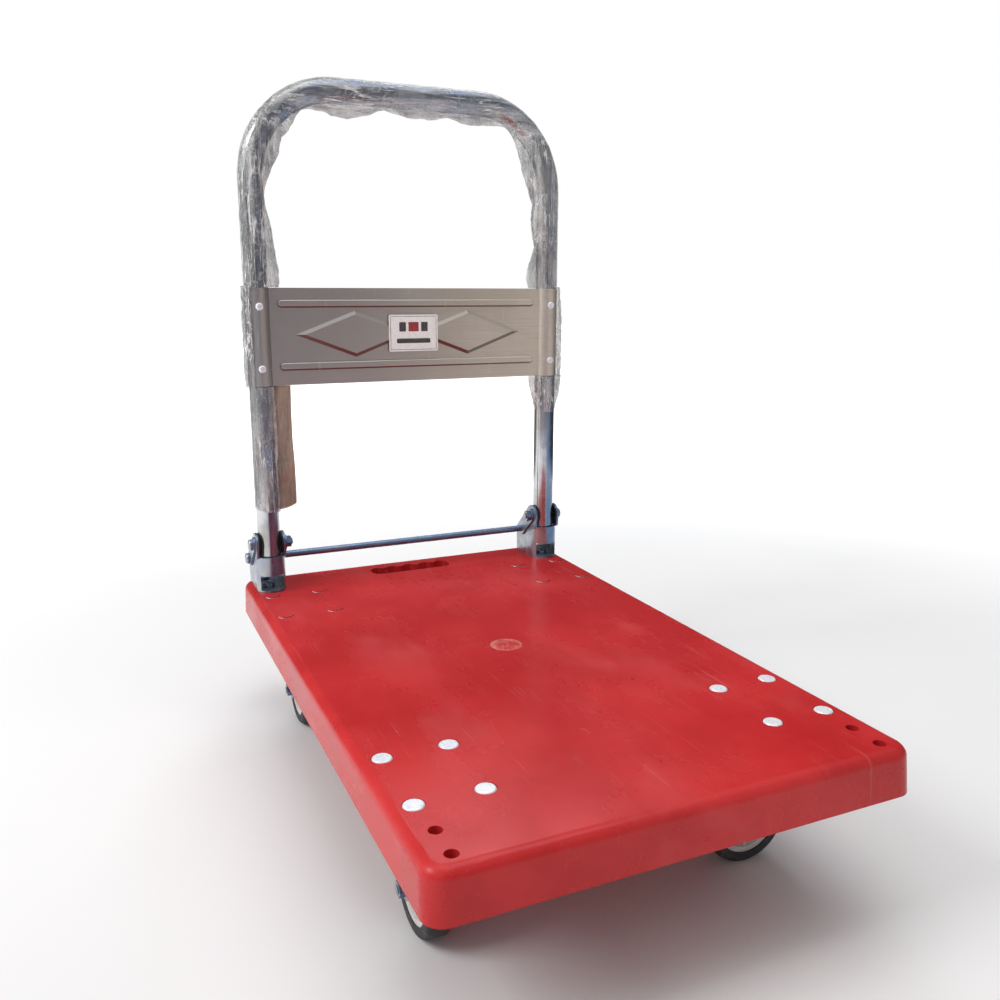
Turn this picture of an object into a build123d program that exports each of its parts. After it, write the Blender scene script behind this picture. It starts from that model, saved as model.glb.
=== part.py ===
from build123d import *
import os
from math import atan2, degrees, hypot, sqrt

# Folding platform cart. Millimetres, +Z up, +Y towards the handle, +X to the right of a person
# who stands in front of the cart and looks at the handle. The origin is on the floor, below the
# centre of the deck. The handle stands upright. The rear casters are fixed and the front ones
# swivel: the front left one trails towards the handle and the front right one towards the middle.

os.makedirs("parts", exist_ok=True)

# ================================================================ driving dimensions
# deck
deck_width = 450
deck_length = 720
deck_top = 162
skirt_height = 42
skirt_flare_sides = 1
skirt_flare_ends = 3.5
deck_corner_radius = 20
skirt_corner_radius = 18
deck_edge_radius = 10
deck_wall = 4.5
deck_skin = 5
rib_thickness = 2.5
rib_depth = 19
rib_inset = 3
rib_pitch_x = 56
rib_pitch_y = 60
gate_mark_radius = 18
hand_slot_length = 114
hand_slot_width = 30
hand_slot_y = 322
hand_slot_depth = 25
hand_slot_radius = 12
hand_slot_wall = 3.5
finger_waves = 4
wave_pitch = 24
wave_radius = 9
wave_setback = 4

# caster fastening: M8 bolts through bosses in the deck
caster_x = 173
caster_y = 231
hole_pitch_x = 60
hole_pitch_y = 80
pad_underside = deck_top - 32
bolt_radius = 4
bolt_hole_radius = 4.25
head_radius = 9
head_height = 3
head_recess = 2.4
boss_radius = 11
washer_radius = 8.5
washer_thickness = 1.2
nut_flats = 13
nut_height = 6

# bracket bolts at the rear, and the spare holes that repeat their places at the front
bracket_bolt_x = 200
bracket_bolt_ys = (310, 342)
spare_hole_radius = 5.8

# handle
handle_x = 198
handle_y = 302
tube_radius = 14
tube_wall = 1.5
handle_top = deck_top + 630
handle_bend_radius = 105
pivot_z = deck_top + 62
tube_below_pivot = 28

# brackets
sheet = 2.5
channel_inner = 16
bracket_rear = 350
band_bottom = deck_top + 22
band_top = deck_top + 46.5
ear_radius = 15
running_clearance = 0.075

# release bar
bar_radius = 4.5
bar_y = 332
bar_z = deck_top + 36
bar_travel = 10
arm_thickness = 2.5
arm_width = 19
side_gap = 0.3

# crosspanel
panel_bottom = deck_top + 265
panel_top = deck_top + 384
panel_sheet = 1.2
panel_y = handle_y - 6
bead_height = 3
bead_width = 10
diamond_height = 2.4

# protective film
film_gap = 0.3
film_bulk = 3.5
film_left_end = deck_top + 104
film_right_end = deck_top + 214

# casters
wheel_radius = 45
wheel_width = 24
caster_trail = 25
rear_setback = 9
swivel_yaws = {"front_left": 0, "front_right": 90}
plate_thickness = 3.5
plate_width = 85
plate_length = 105
plate_corner_radius = 9
ball_gap = 5
fork_sheet = 3
leg_inner = 15

# ================================================================ places that repeat
corners = {"front_left": (-1, -1), "front_right": (1, -1), "rear_left": (-1, 1), "rear_right": (1, 1)}
caster_centres = {name: (sx * caster_x, sy * caster_y) for name, (sx, sy) in corners.items()}


def bolt_square(centre):
    """The four bolt places round a caster's centre."""
    x, y = centre
    return [(x + i * hole_pitch_x / 2, y + j * hole_pitch_y / 2) for i in (-1, 1) for j in (-1, 1)]


caster_bolt_places = [place for centre in caster_centres.values() for place in bolt_square(centre)]
rear_bolt_places = [place for place in caster_bolt_places if place[1] > 0]
bracket_bolt_places = [(sx * bracket_bolt_x, y) for sx in (-1, 1) for y in bracket_bolt_ys]
spare_hole_places = [(x, -y) for x, y in bracket_bolt_places]


# ================================================================ helpers
def save(piece, name, place=Location()):
    """Label a finished piece, put it in its place and write its STEP file."""
    placed = piece.part.moved(place)
    placed.label = name
    export_step(placed, f"parts/{name}.step")


def x_cylinder(radius, x_from, x_to, y, z, mode=Mode.ADD):
    """A cylinder along X in the open part."""
    with Locations(Location(((x_from + x_to) / 2, y, z), (0, 90, 0))):
        Cylinder(radius, abs(x_to - x_from), mode=mode)


def z_cylinders(places, radius, z_from, z_to, mode=Mode.ADD):
    """Cylinders along Z in the open part, one at each (x, y)."""
    with Locations(*[(x, y, z_from) for x, y in places]):
        Cylinder(radius, z_to - z_from, align=(Align.CENTER, Align.CENTER, Align.MIN), mode=mode)


def nuts(places, z_from, z_to):
    """A washer and a hexagon nut at each (x, y), with the washer on top."""
    z_cylinders(places, washer_radius, z_to - washer_thickness, z_to)
    with BuildSketch(Plane.XY.offset(z_from)) as hexagons:
        with Locations(*places):
            RegularPolygon(nut_flats / 2, 6, major_radius=False)
    extrude(hexagons.sketch, amount=z_to - washer_thickness - z_from)
    z_cylinders(places, bolt_radius, z_from, z_to, mode=Mode.SUBTRACT)


def circles_at(piece, z):
    """The circular edges of a piece at one height."""
    return piece.edges().filter_by(GeomType.CIRCLE).filter_by_position(Axis.Z, z - 0.01, z + 0.01)


# ================================================================ deck
skin_underside = deck_top - deck_skin
skirt_bottom = deck_top - skirt_height
rib_bottom = skin_underside - rib_depth
bracket_boss_bottom = deck_top - 22
pad_wall = 4
pad_width = plate_width + 7
pad_length = plate_length + 7
skirt_width = deck_width + 2 * skirt_flare_sides
skirt_length = deck_length + 2 * skirt_flare_ends
cavity_inset = 7
cavity_width = deck_width - 2 * cavity_inset
cavity_length = deck_length - 2 * cavity_inset

with BuildPart() as deck:
    # the sides flare out a little towards the bottom
    with BuildSketch(Plane.XY.offset(skirt_bottom)):
        RectangleRounded(skirt_width, skirt_length, skirt_corner_radius)
    with BuildSketch(Plane.XY.offset(deck_top)):
        RectangleRounded(deck_width, deck_length, deck_corner_radius)
    loft()
    fillet(deck.faces().sort_by(Axis.Z)[-1].edges(), deck_edge_radius)
    with BuildSketch(Plane.XY.offset(skirt_bottom)):
        RectangleRounded(
            skirt_width - 2 * deck_wall, skirt_length - 2 * deck_wall, skirt_corner_radius - deck_wall
        )
    with BuildSketch(Plane.XY.offset(skin_underside)):
        RectangleRounded(cavity_width, cavity_length, deck_corner_radius - cavity_inset)
    loft(mode=Mode.SUBTRACT)
    # stiffening ribs under the skin
    with BuildSketch(Plane.XY.offset(rib_bottom)):
        with GridLocations(rib_pitch_x, 0, 7, 1):
            Rectangle(rib_thickness, deck_length - 2 * rib_inset)
        with GridLocations(0, rib_pitch_y, 1, 11):
            Rectangle(deck_width - 2 * rib_inset, rib_thickness)
    extrude(amount=rib_depth)
    # a boxed pad over each caster, with a boss at each bolt
    with BuildSketch(Plane.XY.offset(pad_underside)):
        with Locations(*caster_centres.values()):
            RectangleRounded(pad_width, pad_length, 12)
            RectangleRounded(pad_width - 2 * pad_wall, pad_length - 2 * pad_wall, 8, mode=Mode.SUBTRACT)
            Rectangle(pad_wall, plate_length)
            Rectangle(plate_width, pad_wall)
        with Locations(*caster_bolt_places):
            Circle(boss_radius)
    extrude(amount=skin_underside - pad_underside)
    # bosses for the bracket bolts, and the same again at the front
    with BuildSketch(Plane.XY.offset(bracket_boss_bottom)):
        with Locations(*bracket_bolt_places, *spare_hole_places):
            Circle(boss_radius)
    extrude(amount=skin_underside - bracket_boss_bottom)
    # wall round the hand slot
    with BuildSketch(Plane.XY.offset(deck_top - hand_slot_depth)):
        with Locations((0, hand_slot_y)):
            RectangleRounded(
                hand_slot_length + 2 * hand_slot_wall,
                hand_slot_width + 2 * hand_slot_wall,
                hand_slot_radius + hand_slot_wall,
            )
    extrude(amount=hand_slot_depth - deck_skin)
    with BuildSketch(Plane.XY.offset(skirt_bottom)):
        with Locations((0, hand_slot_y)):
            RectangleRounded(hand_slot_length, hand_slot_width, hand_slot_radius)
        # the far wall stands out in waves between the fingers
        with Locations((0, hand_slot_y + hand_slot_width / 2 + wave_setback)):
            with GridLocations(wave_pitch, 0, finger_waves, 1):
                Circle(wave_radius, mode=Mode.SUBTRACT)
    extrude(amount=skirt_height, mode=Mode.SUBTRACT)
    # holes: caster bolts with sunk heads, bracket bolts, spare holes
    z_cylinders(caster_bolt_places, bolt_hole_radius, skirt_bottom, deck_top, Mode.SUBTRACT)
    z_cylinders(caster_bolt_places, head_radius + 0.5, deck_top - head_recess, deck_top, Mode.SUBTRACT)
    z_cylinders(bracket_bolt_places, bolt_hole_radius, skirt_bottom, deck_top, Mode.SUBTRACT)
    z_cylinders(spare_hole_places, spare_hole_radius, skirt_bottom, deck_top, Mode.SUBTRACT)
    # the mould's gate mark, a faint ring with a level middle
    z_cylinders([(0, 0)], gate_mark_radius, deck_top - 0.4, deck_top, Mode.SUBTRACT)
    z_cylinders([(0, 0)], gate_mark_radius - 1.5, deck_top - 0.4, deck_top - 0.1)
save(deck, "deck")

# ================================================================ deck fasteners
head_seat = deck_top - head_recess
plate_underside = pad_underside - plate_thickness
caster_nut_end = plate_underside - washer_thickness - nut_height
bracket_floor = deck_top + sheet
bracket_nut_end = bracket_boss_bottom - washer_thickness - nut_height
thread_end = 2

with BuildPart() as caster_bolts:
    z_cylinders(caster_bolt_places, bolt_radius, caster_nut_end - thread_end, head_seat)
    z_cylinders(caster_bolt_places, head_radius, head_seat, head_seat + head_height)
    fillet(circles_at(caster_bolts, head_seat + head_height), 1.8)
save(caster_bolts, "caster_bolts")

with BuildPart() as caster_nuts:
    nuts(caster_bolt_places, caster_nut_end, plate_underside)
save(caster_nuts, "caster_nuts")

plug_thickness = 1
with BuildPart() as rear_bolt_plugs:
    plug_seat = head_seat + head_height
    z_cylinders(rear_bolt_places, head_radius, plug_seat, plug_seat + plug_thickness)
    fillet(circles_at(rear_bolt_plugs, plug_seat + plug_thickness), 0.6)
save(rear_bolt_plugs, "rear_bolt_plugs")

button_radius = 7.5
button_height = 4.5
with BuildPart() as bracket_bolts:
    z_cylinders(bracket_bolt_places, bolt_radius, bracket_nut_end - thread_end, bracket_floor)
    z_cylinders(bracket_bolt_places, button_radius, bracket_floor, bracket_floor + button_height)
    fillet(circles_at(bracket_bolts, bracket_floor + button_height), 2.5)
    with BuildSketch(Plane.XY.offset(bracket_floor + button_height)):
        with Locations(*bracket_bolt_places):
            RegularPolygon(2.5, 6, major_radius=False)
    extrude(amount=-2.5, mode=Mode.SUBTRACT)
save(bracket_bolts, "bracket_bolts")

with BuildPart() as bracket_nuts:
    nuts(bracket_bolt_places, bracket_nut_end, bracket_boss_bottom)
save(bracket_nuts, "bracket_nuts")

# ================================================================ handle brackets
channel_outer = channel_inner + sheet
path_length = hypot(handle_y - bar_y, pivot_z - bar_z)
slide_y = (handle_y - bar_y) / path_length
slide_z = (pivot_z - bar_z) / path_length
slide_angle = degrees(atan2(slide_z, slide_y))
slot_middle = (bar_y + slide_y * bar_travel / 2, bar_z + slide_z * bar_travel / 2)
bar_slot_width = 2 * bar_radius + 0.4
window_width = 30
window_depth = 13.5

for side, sign in {"left": -1, "right": 1}.items():
    centre = sign * handle_x
    with BuildPart() as bracket:
        # floor
        with BuildSketch(Plane.XY.offset(deck_top)):
            with Locations((centre, handle_y)):
                Circle(channel_outer)
            with Locations((centre, (handle_y + bracket_rear) / 2)):
                Rectangle(2 * channel_outer, bracket_rear - handle_y)
        extrude(amount=sheet)
        # the channel's front closes round the tube as a half ring
        with BuildSketch(Plane.XY.offset(bracket_floor)):
            with Locations((centre, handle_y)):
                Circle(channel_outer)
                Circle(channel_inner, mode=Mode.SUBTRACT)
            with Locations((centre, handle_y + channel_outer / 2)):
                Rectangle(2 * channel_outer, channel_outer, mode=Mode.SUBTRACT)
        extrude(amount=band_top - bracket_floor)
        # two cheeks, each with a round ear for the pivot and a slot for the release bar
        for cheek_x in (centre - channel_outer, centre + channel_inner):
            with BuildSketch(Plane.YZ.offset(cheek_x)):
                with BuildLine():
                    Polyline(
                        (handle_y - ear_radius, pivot_z),
                        (handle_y - ear_radius + 2, band_top),
                        (handle_y, band_top - 6),
                        (handle_y, deck_top),
                        (bracket_rear, deck_top),
                        (bracket_rear, bar_z),
                        (handle_y + 11, pivot_z + 10),
                        (handle_y - ear_radius, pivot_z),
                    )
                make_face()
                with Locations((handle_y, pivot_z)):
                    Circle(ear_radius)
                    Circle(bolt_radius, mode=Mode.SUBTRACT)
                with Locations(Location(slot_middle, slide_angle)):
                    SlotCenterToCenter(bar_travel, bar_slot_width, mode=Mode.SUBTRACT)
            extrude(amount=sheet)
        # low window in front, over the bolt
        with Locations((centre, handle_y - channel_outer, (bracket_floor + band_bottom) / 2)):
            Box(window_width, 2 * window_depth, band_bottom - bracket_floor, mode=Mode.SUBTRACT)
        side_bolts = [(sign * bracket_bolt_x, y) for y in bracket_bolt_ys]
        z_cylinders(side_bolts, bolt_hole_radius, deck_top, bracket_floor, Mode.SUBTRACT)
    save(bracket, f"{side}_bracket")

# ================================================================ handle pivots
arm_inner = channel_outer + side_gap
arm_outer = arm_inner + arm_thickness
stack_outer = arm_outer + side_gap
pivot_head_height = 5
pivot_head_radius = 7
pivot_washer_radius = 14.5
pivot_washer_thickness = 1.6

with BuildPart() as pivot_bolts:
    for sign in (-1, 1):
        centre = sign * handle_x
        inboard = centre - sign * (stack_outer + nut_height + thread_end)
        outboard = centre + sign * stack_outer
        x_cylinder(bolt_radius, inboard, outboard, handle_y, pivot_z)
        x_cylinder(pivot_head_radius, outboard, outboard + sign * pivot_head_height, handle_y, pivot_z)
    for end in (Axis.X, Axis.X.reverse()):
        fillet(pivot_bolts.faces().sort_by(end)[-1].edges(), 2.5)
save(pivot_bolts, "pivot_bolts")

with BuildPart() as pivot_nuts:
    for sign in (-1, 1):
        nut_start = sign * (handle_x - stack_outer - nut_height)
        with BuildSketch(Plane.YZ.offset(nut_start)):
            with Locations((handle_y, pivot_z)):
                RegularPolygon(nut_flats / 2, 6, major_radius=False)
                Circle(bolt_radius, mode=Mode.SUBTRACT)
        extrude(amount=sign * nut_height)
save(pivot_nuts, "pivot_nuts")

with BuildPart() as pivot_washers:
    for centre in (-handle_x, handle_x):
        for face in (-1, 1):
            near = centre + face * (tube_radius + side_gap)
            far = near + face * pivot_washer_thickness
            x_cylinder(pivot_washer_radius, near, far, handle_y, pivot_z)
            x_cylinder(bolt_radius, near, far, handle_y, pivot_z, Mode.SUBTRACT)
save(pivot_washers, "pivot_washers")

# ================================================================ release bar and its arms
bar_cap_length = 5
bar_cap_radius = 7
bar_end = handle_x + stack_outer

with BuildPart() as release_bar:
    x_cylinder(bar_radius, -bar_end, bar_end, bar_y, bar_z)
save(release_bar, "release_bar")

with BuildPart() as bar_end_caps:
    for sign in (-1, 1):
        x_cylinder(bar_cap_radius, sign * bar_end, sign * (bar_end + bar_cap_length), bar_y, bar_z)
    for end in (Axis.X, Axis.X.reverse()):
        fillet(bar_end_caps.faces().sort_by(end)[-1].edges(), 3)
save(bar_end_caps, "bar_end_caps")

arm_starts = [
    sign * handle_x + offset
    for sign in (-1, 1)
    for offset in (-arm_outer, arm_inner)
]
bolt_slot_middle = (handle_y - slide_y * bar_travel / 2, pivot_z - slide_z * bar_travel / 2)
arm_middle = ((handle_y + bar_y) / 2, (pivot_z + bar_z) / 2)
with BuildPart() as release_arms:
    for start in arm_starts:
        with BuildSketch(Plane.YZ.offset(start)):
            with Locations(Location(arm_middle, slide_angle)):
                SlotCenterToCenter(path_length, arm_width)
            with Locations(Location(bolt_slot_middle, slide_angle)):
                SlotCenterToCenter(bar_travel, 2 * bolt_radius + 0.4, mode=Mode.SUBTRACT)
            with Locations((bar_y, bar_z)):
                Circle(bar_radius, mode=Mode.SUBTRACT)
        extrude(amount=arm_thickness)
save(release_arms, "release_arms")

# ================================================================ handle
tube_bottom = pivot_z - tube_below_pivot
tube_axis_top = handle_top - tube_radius
bush_radius = 6
screw_zs = (deck_top + 286.5, deck_top + 361.7)
screw_places = [(sign * handle_x, z) for sign in (-1, 1) for z in screw_zs]
screw_radius = 2.1


def handle_sweep(outer, inner, left_end, right_end):
    """A round tube along the handle's bent axis, as a part."""
    with BuildPart() as swept:
        with BuildLine(Plane.XZ.offset(-handle_y)):
            FilletPolyline(
                (-handle_x, left_end),
                (-handle_x, tube_axis_top),
                (handle_x, tube_axis_top),
                (handle_x, right_end),
                radius=handle_bend_radius,
            )
        with BuildSketch(Plane.XY.offset(left_end)):
            with Locations((-handle_x, handle_y)):
                Circle(outer)
                Circle(inner, mode=Mode.SUBTRACT)
        sweep()
    return swept.part


with BuildPart() as handle_tube:
    add(handle_sweep(tube_radius, tube_radius - tube_wall, tube_bottom, tube_bottom))
    for centre in (-handle_x, handle_x):
        x_cylinder(bush_radius, centre - tube_radius, centre + tube_radius, handle_y, pivot_z, Mode.SUBTRACT)
    for x, z in screw_places:
        with Locations(Location((x, handle_y - tube_radius, z), (90, 0, 0))):
            Cylinder(screw_radius, 8, mode=Mode.SUBTRACT)
save(handle_tube, "handle_tube")

with BuildPart() as pivot_bushes:
    for centre in (-handle_x, handle_x):
        x_cylinder(bush_radius, centre - tube_radius, centre + tube_radius, handle_y, pivot_z)
        x_cylinder(
            bolt_radius + running_clearance,
            centre - tube_radius,
            centre + tube_radius,
            handle_y,
            pivot_z,
            Mode.SUBTRACT,
        )
save(pivot_bushes, "pivot_bushes")

# ================================================================ crosspanel
sleeve_inner = tube_radius + 0.1
sleeve_outer = sleeve_inner + panel_sheet
panel_front = panel_y - panel_sheet
flat_half = handle_x - sqrt(sleeve_inner**2 - (handle_y - panel_y) ** 2)
panel_height = panel_top - panel_bottom
bead_zs = (panel_top - 19, panel_bottom + 23)
bead_length = 350
diamond_half_length = 77
diamond_half_height = 29
diamond_z = deck_top + 327
bevel = 4.5

with BuildPart() as bead_tool:
    with BuildSketch(Plane.XZ.offset(-panel_front)):
        for z in bead_zs:
            with Locations((0, z)):
                SlotOverall(bead_length, bead_width)
    extrude(amount=bead_height)
    fillet(bead_tool.faces().filter_by(Axis.Y).group_by(Axis.Y)[0].edges(), bead_height - 0.3)

with BuildPart() as diamond_tool:
    for centre in (-diamond_half_length, diamond_half_length):
        for depth, inset in ((0, 0), (diamond_height, bevel)):
            half_length = diamond_half_length - inset * diamond_half_length / diamond_half_height
            half_height = diamond_half_height - inset
            with BuildSketch(Plane.XZ.offset(-panel_front + depth)):
                with Locations((centre, diamond_z)):
                    Polygon((-half_length, 0), (0, -half_height), (half_length, 0), (0, half_height))
        loft()

with BuildPart() as crosspanel:
    with BuildSketch(Plane.XY.offset(panel_bottom)):
        with Locations((0, panel_y - panel_sheet / 2)):
            Rectangle(2 * flat_half + 0.8, panel_sheet)
        for centre in (-handle_x, handle_x):
            with Locations((centre, handle_y)):
                Circle(sleeve_outer)
        for centre in (-handle_x, handle_x):
            with Locations((centre, handle_y)):
                Circle(sleeve_inner, mode=Mode.SUBTRACT)
            with Locations((centre, handle_y + sleeve_outer / 2)):
                Rectangle(2 * sleeve_outer, sleeve_outer, mode=Mode.SUBTRACT)
    extrude(amount=panel_height)
    # pressed beads and diamonds: the same shape out of the front and into the back
    for tool in (bead_tool, diamond_tool):
        add(tool.part)
        add(tool.part.moved(Location((0, panel_sheet, 0))), mode=Mode.SUBTRACT)
    for x, z in screw_places:
        with Locations(Location((x, handle_y - sleeve_outer, z), (90, 0, 0))):
            Cylinder(screw_radius, 8, mode=Mode.SUBTRACT)
save(crosspanel, "crosspanel")

screw_head_radius = 4.6
screw_head_height = 3
screw_length = 12
with BuildPart() as panel_screws:
    for x, z in screw_places:
        with BuildSketch(Plane(origin=(x, handle_y - sleeve_outer, z), z_dir=(0, -1, 0))):
            Circle(screw_head_radius)
        extrude(amount=screw_head_height)
    fillet(panel_screws.faces().filter_by(Axis.Y).group_by(Axis.Y)[0].edges(), 2)
    for x, z in screw_places:
        with BuildSketch(Plane(origin=(x, handle_y - sleeve_outer, z), z_dir=(0, -1, 0))):
            Circle(screw_radius)
        extrude(amount=-screw_length)
        # cross recess
        head_face = handle_y - sleeve_outer - screw_head_height
        with Locations((x, head_face, z)):
            Box(5, 3, 1.1, mode=Mode.SUBTRACT)
            Box(1.1, 3, 5, mode=Mode.SUBTRACT)
save(panel_screws, "panel_screws")

label_width = 67
label_height = 47
label_thickness = 0.4
with BuildPart() as label:
    with Locations((0, panel_front - diamond_height - label_thickness / 2, diamond_z)):
        Box(label_width, label_thickness, label_height)
save(label, "label")

# ================================================================ protective film on the handle
film_inner = tube_radius + film_gap
film_outer = film_inner + film_bulk
flap_length = 158
flap_width = 30
strip_width = 3.4

with BuildPart() as film_top:
    add(handle_sweep(film_outer, film_inner, panel_top + 1, panel_top + 1))
    # a strip runs down outside each end of the crosspanel
    strip_z = (panel_top + panel_bottom) / 2
    for sign in (-1, 1):
        strip_x = sign * (handle_x + sleeve_outer + film_gap + strip_width / 2)
        with Locations((strip_x, handle_y, strip_z)):
            Box(strip_width, 14, panel_height + 6)
save(film_top, "film_top")

film_ends = {"left": (-1, film_left_end), "right": (1, film_right_end)}
for side, (sign, end) in film_ends.items():
    with BuildPart() as film_end:
        place = [(sign * handle_x, handle_y)]
        z_cylinders(place, film_outer, end, panel_bottom - 4)
        z_cylinders(place, film_inner, end, panel_bottom - 4, Mode.SUBTRACT)
        if side == "left":
            flap_x = -handle_x + film_inner + 1 + flap_width / 2
            with Locations((flap_x, handle_y, end + flap_length / 2)):
                Box(flap_width, 3, flap_length)
    save(film_end, f"film_{side}")

# ================================================================ casters
# Each one is drawn round its plate's centre, with its wheel set back along +Y, then put in place.
ball_radius = ball_gap / 2 - 0.02
ball_circle = 18
ball_count = 14
lip_radius = 27
lip_wall = 3
kingpin_radius = 6
kingpin_head_radius = 9.5
kingpin_end = 6.5
fork_head_radius = 28
leg_outer = leg_inner + fork_sheet
leg_back = 17
leg_front = 26
leg_shoulder = 12
fork_foot_radius = 11
axle_z = wheel_radius
axle_head_radius = 7
axle_head_height = 4
bore_radius = 6
hub_radius = 11
hub_half_width = 14
rim_radius = 34
rim_half_width = 10.5
dish_radius = 29
web_half_thickness = 4
spoke_count = 8
spoke_thickness = 3
spoke_half_width = 8
tread_rounding = 5

for corner, (cx, cy) in caster_centres.items():
    swivels = corner in swivel_yaws
    plate_place = Location((cx, cy, 0))
    place = Location((cx, cy, 0), (0, 0, swivel_yaws.get(corner, 0)))
    fork_top = plate_underside - ball_gap if swivels else plate_underside
    axle_y = caster_trail if swivels else rear_setback

    with BuildPart() as caster_plate:
        with BuildSketch(Plane.XY.offset(plate_underside)):
            RectangleRounded(plate_width, plate_length, plate_corner_radius)
            with GridLocations(hole_pitch_x, hole_pitch_y, 2, 2):
                Circle(bolt_hole_radius, mode=Mode.SUBTRACT)
        extrude(amount=plate_thickness)
        if swivels:
            # raceway lip, and the kingpin with its riveted head
            lip_end = fork_top + 0.5
            rivet_end = fork_top - kingpin_end
            z_cylinders([(0, 0)], lip_radius, lip_end, plate_underside)
            z_cylinders([(0, 0)], lip_radius - lip_wall, lip_end, plate_underside, Mode.SUBTRACT)
            z_cylinders([(0, 0)], kingpin_radius, rivet_end, plate_underside)
            z_cylinders([(0, 0)], kingpin_head_radius, rivet_end, fork_top - fork_sheet - side_gap)
            fillet(circles_at(caster_plate, rivet_end), 1.5)
    save(caster_plate, f"{corner}_caster_plate", plate_place)

    if swivels:
        with BuildPart() as race_balls:
            with Locations((0, 0, plate_underside - ball_radius)):
                with PolarLocations(ball_circle, ball_count):
                    Sphere(ball_radius)
        save(race_balls, f"{corner}_race_balls", place)

    with BuildPart() as fork:
        with BuildSketch(Plane.XY.offset(fork_top - fork_sheet)):
            Circle(fork_head_radius)
            with Locations((0, (leg_front - leg_back) / 2)):
                Rectangle(2 * leg_outer, leg_front + leg_back)
            if swivels:
                Circle(kingpin_radius + running_clearance, mode=Mode.SUBTRACT)
        extrude(amount=fork_sheet)
        for leg_x in (-leg_outer, leg_inner):
            with BuildSketch(Plane.YZ.offset(leg_x)):
                with BuildLine():
                    Polyline(
                        (-leg_back, fork_top),
                        (leg_front, fork_top),
                        (leg_front, fork_top - leg_shoulder),
                        (axle_y + fork_foot_radius, axle_z),
                        (axle_y - fork_foot_radius, axle_z),
                        (-leg_back, fork_top - leg_shoulder),
                        (-leg_back, fork_top),
                    )
                make_face()
                with Locations((axle_y, axle_z)):
                    Circle(fork_foot_radius)
                    Circle(bolt_radius, mode=Mode.SUBTRACT)
            extrude(amount=fork_sheet)
    save(fork, f"{corner}_caster_fork", place)

    with BuildPart() as axle:
        nut_end = -leg_outer - nut_height
        x_cylinder(bolt_radius, nut_end - 1, leg_outer, axle_y, axle_z)
        x_cylinder(axle_head_radius, leg_outer, leg_outer + axle_head_height, axle_y, axle_z)
        fillet(axle.faces().sort_by(Axis.X)[-1].edges(), 1.5)
        with BuildSketch(Plane.YZ.offset(nut_end)):
            with Locations((axle_y, axle_z)):
                RegularPolygon(nut_flats / 2, 6, major_radius=False)
        extrude(amount=nut_height)
    save(axle, f"{corner}_axle", place)

    with BuildPart() as axle_bush:
        bush_end = leg_inner - 0.5
        x_cylinder(bore_radius, -bush_end, bush_end, axle_y, axle_z)
        x_cylinder(
            bolt_radius + running_clearance, -bush_end, bush_end, axle_y, axle_z, Mode.SUBTRACT
        )
    save(axle_bush, f"{corner}_axle_bush", place)

    with BuildPart() as wheel_core:
        x_cylinder(rim_radius, -rim_half_width, rim_half_width, axle_y, axle_z)
        for face in (-1, 1):
            # dished sides leave a rim, a web and a hub
            x_cylinder(
                dish_radius,
                face * web_half_thickness,
                face * rim_half_width,
                axle_y,
                axle_z,
                Mode.SUBTRACT,
            )
        x_cylinder(hub_radius, -hub_half_width, hub_half_width, axle_y, axle_z)
        # spokes from hub to rim, on both sides of the web
        with BuildSketch(Plane.YZ.offset(-spoke_half_width)):
            with Locations((axle_y, axle_z)):
                with PolarLocations((hub_radius + dish_radius) / 2, spoke_count):
                    Rectangle(dish_radius - hub_radius + 2, spoke_thickness)
        extrude(amount=2 * spoke_half_width)
        x_cylinder(bore_radius, -hub_half_width, hub_half_width, axle_y, axle_z, Mode.SUBTRACT)
    save(wheel_core, f"{corner}_wheel_core", place)

    with BuildPart() as tyre:
        x_cylinder(wheel_radius, -wheel_width / 2, wheel_width / 2, axle_y, axle_z)
        fillet(tyre.edges().filter_by(GeomType.CIRCLE), tread_rounding)
        x_cylinder(rim_radius, -wheel_width / 2, wheel_width / 2, axle_y, axle_z, Mode.SUBTRACT)
    save(tyre, f"{corner}_tyre", place)
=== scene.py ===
"""Looks of the folding platform cart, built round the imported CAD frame. Metres, in the row frame."""

from math import cos, exp, pi, radians, sin, tau

import bpy
from mathutils import Matrix, Vector, noise


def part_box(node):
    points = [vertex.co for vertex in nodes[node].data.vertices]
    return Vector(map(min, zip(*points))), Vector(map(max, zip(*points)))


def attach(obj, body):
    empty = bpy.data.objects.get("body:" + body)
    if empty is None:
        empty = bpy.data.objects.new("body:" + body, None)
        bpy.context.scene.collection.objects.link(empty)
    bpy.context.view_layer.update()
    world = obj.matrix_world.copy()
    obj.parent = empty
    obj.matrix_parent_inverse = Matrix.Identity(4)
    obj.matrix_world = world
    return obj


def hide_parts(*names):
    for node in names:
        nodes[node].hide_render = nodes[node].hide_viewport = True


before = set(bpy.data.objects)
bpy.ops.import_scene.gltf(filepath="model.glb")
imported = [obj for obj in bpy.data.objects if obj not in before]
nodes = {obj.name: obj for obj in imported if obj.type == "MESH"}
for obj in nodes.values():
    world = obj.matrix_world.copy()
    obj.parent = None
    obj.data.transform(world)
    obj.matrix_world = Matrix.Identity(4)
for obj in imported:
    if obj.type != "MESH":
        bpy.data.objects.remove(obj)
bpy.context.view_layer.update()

CORNERS = ("front_left", "front_right", "rear_left", "rear_right")
MM = 0.001
gate_mark_radius = 18 * MM

# ================================================================ places read from the frame
tube_low, tube_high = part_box("handle_tube")
panel_low, panel_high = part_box("crosspanel")
label_low, label_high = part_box("label")
deck_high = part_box("deck")[1]
film_left_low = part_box("film_left")[0]
film_right_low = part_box("film_right")[0]

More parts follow.
